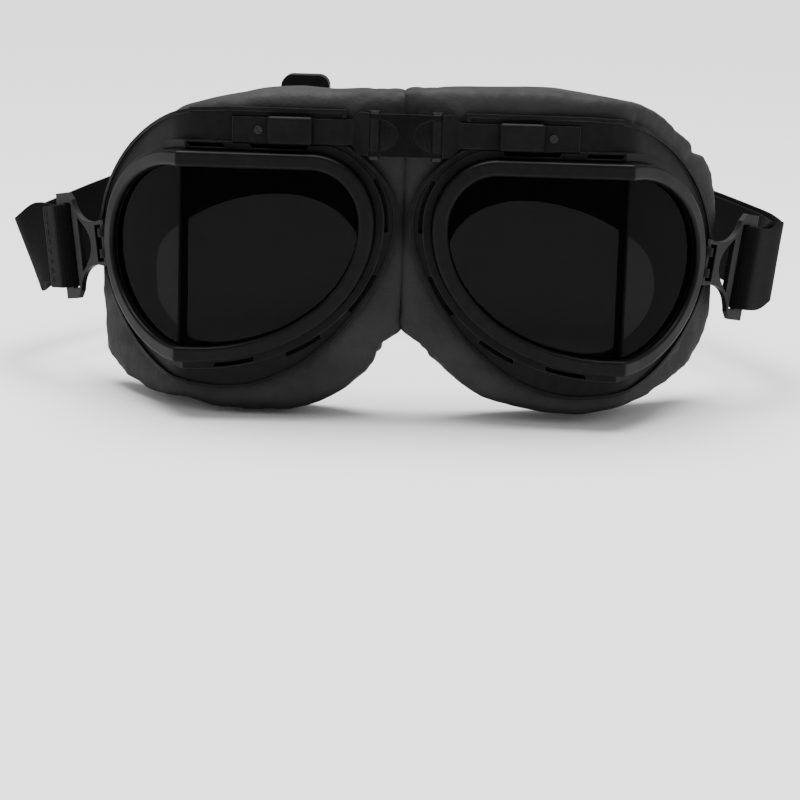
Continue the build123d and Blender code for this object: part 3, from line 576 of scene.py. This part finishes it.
def route_samples(end_x, level):
    """Centre points of one ply, from the tab to a place behind the head."""
    begun = TAB_END / MM
    corners = [Vector((begun.x, begun.y)), *[Vector(p) for p in ROUTE], Vector((end_x, ROUTE[1][1]))]
    points = [corners[0]]
    for before, corner, after in zip(corners, corners[1:], corners[2:]):
        come = (corner - before).normalized()
        leave = (after - corner).normalized()
        turn = come.angle(leave)
        reach = ROUTE_RADIUS * math.tan(turn / 2)
        centre = corner - come * reach + Vector((-come.y, come.x)) * ROUTE_RADIUS
        first = corner - come * reach - centre
        count = max(4, int(turn * ROUTE_RADIUS / ROUTE_STEP))
        for k in range(count + 1):
            angle = turn * k / count
            cosine, sine = math.cos(angle), math.sin(angle)
            x = first.x * cosine - first.y * sine
            y = first.x * sine + first.y * cosine
            points.append(centre + Vector((x, y)))
    points.append(corners[-1])
    dense = [points[0]]
    for a, b in zip(points, points[1:]):
        count = max(1, int((b - a).length / ROUTE_STEP))
        dense += [a.lerp(b, (k + 1) / count) for k in range(count)]
    placed = []
    for index, point in enumerate(dense):
        ahead = dense[min(index + 1, len(dense) - 1)] - dense[max(index - 1, 0)]
        left = Vector((-ahead.y, ahead.x)).normalized()
        spot = point + left * level
        placed.append(Vector((spot.x, spot.y, strap_height(spot.y))) * MM)
    return placed


def tab_samples(end_level):
    """Centre points of the loop round the bar, from its outer end to its inner one."""
    way = Vector((math.cos(STRAP_TURN), math.sin(STRAP_TURN)))
    square = Vector((-way.y, way.x))
    swell = LOOP_RADIUS - end_level
    rise = swell / LOOP_LENGTH
    touch = math.atan2(math.sqrt(1 - rise * rise), rise)
    line = [
        (LOOP_LENGTH, -end_level),
        (LOOP_LENGTH * 0.72, -end_level - swell * 0.18),
        (LOOP_LENGTH * 0.45, -end_level - swell * 0.5),
    ]
    for k in range(LOOP_STEPS + 1):
        angle = -touch - (2 * math.pi - 2 * touch) * k / LOOP_STEPS
        line.append((LOOP_RADIUS * math.cos(angle), LOOP_RADIUS * math.sin(angle)))
    line += [(a, -b) for a, b in reversed(line[:3])]
    spots = []
    for a, b in line:
        flat = way * a + square * b
        spots.append(BAR + (BAIL_WAY * flat.x + BAIL_BACK * flat.y) * MM)
    return spots


def strap_pose(middle, side):
    """Where a point of the middle line hangs in the photograph, and which way its width stands."""
    x, y = abs(middle.x) / MM, middle.y / MM
    before_fold = middle.y < FOLD_Y * MM
    off_tab = 1
    if before_fold:
        off_tab = min(1, max(0.0, (middle - TAB_END).dot(STRAP_WAY) / MM) / 12)
    fold_spread = FOLD_SPREAD_FRONT if before_fold else FOLD_SPREAD_BEHIND
    near_fold = math.exp(-((y - FOLD_Y) / fold_spread) ** 2)
    corner = math.exp(-((x - CORNER_X) / CORNER_SPREAD) ** 2) * fade(y - 75, 45)
    spot = middle + FOLD_SHIFT[side] * near_fold * off_tab - Vector((0, 0, CORNER_DROP)) * corner
    folded = Vector((math.sin(FOLD_LEAN[side]), 0, math.cos(FOLD_LEAN[side])))
    loose = Vector((0, 0, 1)).lerp(folded, near_fold)
    return spot, BAR_AXIS.lerp(loose, off_tab).normalized()


def ribbon(name, spine, side):
    """Flat webbing along a spine, from a grid whose UV map follows the weave."""
    clear_selection()
    stations = len(spine)
    bpy.ops.mesh.primitive_grid_add(x_subdivisions=stations - 1, y_subdivisions=STRAP_ROWS - 1, size=1)
    piece = bpy.context.object
    piece.name = name
    along = [0.0]
    for a, b in zip(spine, spine[1:]):
        along.append(along[-1] + (b - a).length)
    posed = [strap_pose(middle, side) for middle in spine]
    layer = piece.data.uv_layers.active.data
    places = []
    for vertex in piece.data.vertices:
        index = round((vertex.co.x + 0.5) * (stations - 1))
        middle, width_way = posed[index]
        spot = middle + width_way * vertex.co.y * STRAP_WIDTH
        places.append((index, vertex.co.y))
        vertex.co = Vector((side * spot.x, spot.y, spot.z))
    for loop in piece.data.loops:
        index, across_share = places[loop.vertex_index]
        layer[loop.index].uv = (along[index], across_share + 0.5)
    turn_outwards(piece)
    apply_modifier(piece, "SOLIDIFY", thickness=PLY * 0.94, offset=0.0)
    apply_modifier(
        piece, "BEVEL", width=0.4 * MM, segments=2, limit_method="ANGLE", angle_limit=math.radians(50)
    )
    smooth(piece, 50)
    paint(piece, webbing)
    return piece


def eased(points, rounds):
    """Points pulled towards their neighbours, ends kept."""
    for _ in range(rounds):
        points = [points[0]] + [
            a * 0.25 + b * 0.5 + c * 0.25 for a, b, c in zip(points, points[1:], points[2:])
        ] + [points[-1]]
    return points


right_outer = route_samples(SLIDER_X, -PLY_GAP)
right_inner = route_samples(SLIDER_X, PLY_GAP)
right_spine = eased(list(reversed(right_outer))[:-1] + tab_samples(PLY_GAP) + right_inner[1:], 2)
webbing_right = ribbon("webbing_right", right_spine, 1)
left_run = route_samples(LEFT_END_X, 0.0)
left_spine = eased(list(reversed(left_run))[:-2] + list(reversed(tab_samples(0.75))), 2)
webbing_left = ribbon("webbing_left", left_spine, -1)
for side, piece, tail, names in (
    (1, webbing_right, "_right", ("strap_outer_right", "strap_inner_right", "strap_tab_right")),
    (-1, webbing_left, "_left", ("strap_left", "strap_tab_left")),
):
    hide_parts(*names)
    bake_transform(piece)


STITCHES = 8
STITCH_PITCH = 2.9 * MM
STITCH_HALF = Vector((0.24, 0.2, 1.05)) * MM


def stitch_row(name, distance, face_level):
    """One row of stitches across the left tab, from short thread links."""
    clear_selection()
    way = BAIL_WAY * math.cos(STRAP_TURN) + BAIL_BACK * math.sin(STRAP_TURN)
    out = BAIL_WAY * math.sin(STRAP_TURN) - BAIL_BACK * math.cos(STRAP_TURN)
    made = []
    for k in range(STITCHES):
        across = (k - (STITCHES - 1) / 2) * STITCH_PITCH
        centre = BAR + way * distance + out * face_level + BAR_AXIS * across
        bpy.ops.mesh.primitive_uv_sphere_add(segments=10, ring_count=6, radius=1)
        link = bpy.context.object
        for vertex in link.data.vertices:
            p = vertex.co * STITCH_HALF
            spot = centre + BAR_AXIS * p.z + way * p.x + out * p.y
            vertex.co = Vector((-spot.x, spot.y, spot.z))
        made.append(link)
    pick(*made)
    bpy.ops.object.join()
    row = bpy.context.object
    row.name = name
    turn_outwards(row)
    smooth(row, 180)
    paint(row, thread_finish)
    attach(row, "tab_left")


stitch_row("stitch_row_left_a", 8.4 * MM, 2.35 * MM)
stitch_row("stitch_row_left_b", 11.2 * MM, 1.75 * MM)

# Floor, light and camera
FLOOR_Z = -46.2 * MM
clear_selection()
bpy.ops.mesh.primitive_plane_add(size=6, location=(0, 1.2, FLOOR_Z))
floor = bpy.context.object
floor.name = "floor"
floor_finish, floor_tree, floor_shader = new_finish("pale_floor", (0.9, 0.9, 0.9), 0.8)
floor_cloud = grain(floor_tree, object_space(floor_tree), 3.0)
floor_colour = tint(floor_tree, floor_cloud, (0.88, 0.88, 0.88), (0.92, 0.92, 0.92))
floor_tree.links.new(floor_colour, floor_shader.inputs["Base Color"])
paint(floor, floor_finish)

world = bpy.data.worlds.new("studio")
bpy.context.scene.world = world
world.use_nodes = True
world.node_tree.nodes["Background"].inputs["Color"].default_value = (1, 1, 1, 1)
world.node_tree.nodes["Background"].inputs["Strength"].default_value = 0.55


def softbox(name, place, size, power):
    """A square studio light turned towards the goggles."""
    bpy.ops.object.light_add(type="AREA", location=place)
    light = bpy.context.object
    light.name = name
    light.data.size = size
    light.data.energy = power
    light.rotation_euler = (-Vector(place)).to_track_quat("-Z", "Y").to_euler()


bpy.ops.object.light_add(type="SUN", location=(0, 0.3, 1.2))
overhead = bpy.context.object
overhead.name = "overhead"
overhead.data.energy = 5.5
overhead.data.angle = math.radians(50)
overhead.rotation_euler = Vector((0.05, -0.12, -1)).to_track_quat("-Z", "Y").to_euler()
softbox("key_top", (-0.05, 0.1, 0.85), 0.7, 5.0)
softbox("fill_right", (0.8, -0.5, 0.35), 0.5, 1.4)
softbox("fill_left", (-0.8, -0.4, 0.3), 0.5, 0.8)

TARGET = Vector((0, 1.0, -1.2)) * MM
DISTANCE = 560 * MM
AZIMUTH, ELEVATION, ROLL = math.radians(0.9), math.radians(9.65), math.radians(-1.7)
FRAME_PIXELS = 800
SENSOR = 36
PIXELS_PER_MM = 3.469
TARGET_PIXEL = (403.5, 255.2)

back = Vector((
    math.sin(AZIMUTH) * math.cos(ELEVATION),
    -math.cos(AZIMUTH) * math.cos(ELEVATION),
    math.sin(ELEVATION),
))
level = Vector((math.cos(AZIMUTH), math.sin(AZIMUTH), 0))
upright = back.cross(level)
across = level * math.cos(ROLL) - upright * math.sin(ROLL)
upward = level * math.sin(ROLL) + upright * math.cos(ROLL)
clear_selection()
bpy.ops.object.camera_add(location=TARGET + back * DISTANCE)
camera = bpy.context.object
camera.name = "camera"
camera.rotation_mode = "QUATERNION"
camera.rotation_quaternion = Matrix((across, upward, back)).transposed().to_quaternion()
camera.data.sensor_width = SENSOR
camera.data.lens = SENSOR * PIXELS_PER_MM * DISTANCE / MM / FRAME_PIXELS
camera.data.shift_x = (FRAME_PIXELS / 2 - TARGET_PIXEL[0]) / FRAME_PIXELS
camera.data.shift_y = (TARGET_PIXEL[1] - FRAME_PIXELS / 2) / FRAME_PIXELS
camera.data.clip_start = 0.01
bpy.context.scene.camera = camera
